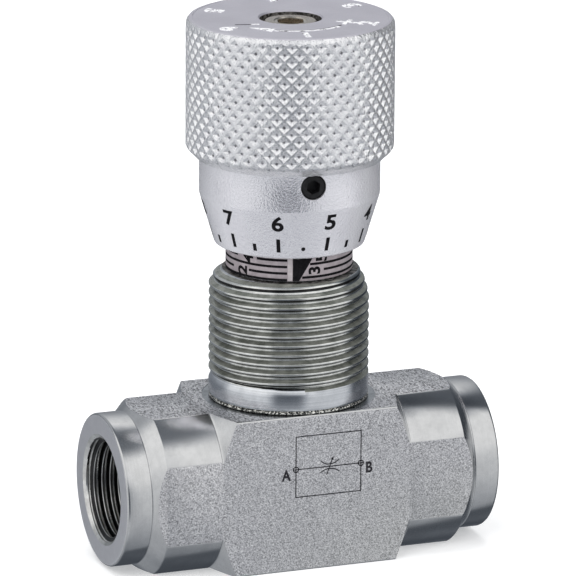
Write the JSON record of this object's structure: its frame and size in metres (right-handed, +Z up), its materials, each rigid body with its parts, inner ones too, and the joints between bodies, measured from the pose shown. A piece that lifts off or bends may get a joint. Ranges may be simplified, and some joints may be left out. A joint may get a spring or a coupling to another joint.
{
  "type": "flow control valve",
  "caption": "Inline two-way throttle valve: square steel block with two tapped ports, threaded neck, needle spindle and graduated knurled hand knob with a locking screw.",
  "frame": {"origin": "the middle of the block's underside, on the spindle axis; the port axis is 12.5 mm above it", "axes": "+X along the ports from the left port to the right port, -Y out of the front of the block, +Z up the spindle to the knob"},
  "size_m": [0.062, 0.0322, 0.0853],
  "materials": {
    "body_zinc": "zinc plated; drawn flats blasted and speckled, turned ends smooth",
    "neck_steel": "zinc plated, turned and threaded",
    "sleeve_steel": "fine turned",
    "hard_steel": "hardened and ground",
    "screw_steel": "bright zinc plated",
    "black_steel": "black oxide, oiled",
    "knob_aluminium": "satin blasted, knurled grip",
    "label_film": "off-white printed film",
    "print_ink": "black marking ink",
    "seal_rubber": "black nitrile",
    "backup_plastic": "unfilled ptfe",
    "pad_brass": "turned"
  },
  "bodies": {
    "housing": {"valve_body": "body_zinc", "seat_ring": "hard_steel", "bonnet": "neck_steel", "bonnet_o_ring": "seal_rubber", "scale_sleeve": "sleeve_steel", "scale_label": "label_film", "wiper_ring": "seal_rubber"},
    "spindle_seals": {"spindle_o_ring": "seal_rubber", "backup_ring_lower": "backup_plastic", "backup_ring_upper": "backup_plastic"},
    "spindle_and_knob": {"spindle": "hard_steel", "knob": "knob_aluminium", "knob_dowel_pin": "hard_steel", "knob_spring_washer": "screw_steel", "knob_screw": "screw_steel"},
    "lock_pad_body": {"lock_pad": "pad_brass"},
    "lock_screw_body": {"lock_screw": "black_steel"}
  },
  "joints": [
    {"name": "spindle_lift", "type": "slide", "parent": "housing", "child": "spindle_seals", "axis": [0, 0, 1], "range_m": [-0.0041, 0.0019]},
    {"name": "knob_turn", "type": "hinge", "parent": "spindle_seals", "child": "spindle_and_knob", "pos_m": [0, 0, 0.0425], "axis": [0, 0, 1], "range_deg": [-1477, 685]},
    {"name": "lock_pad_slide", "type": "slide", "parent": "spindle_and_knob", "child": "lock_pad_body", "axis": [-0.1063, -0.9943, 0], "range_m": [0, 0.00105]},
    {"name": "lock_screw_turn", "type": "hinge", "parent": "lock_pad_body", "child": "lock_screw_body", "pos_m": [-0.00133, -0.01243, 0.06165], "axis": [-0.1063, -0.9943, 0], "range_deg": [0, 541]}
  ],
  "couplings": [
    {"joint": "knob_turn", "follows": "spindle_lift", "rad_per_m": 6283.2},
    {"joint": "lock_screw_turn", "follows": "lock_pad_slide", "rad_per_m": 8976}
  ]
}
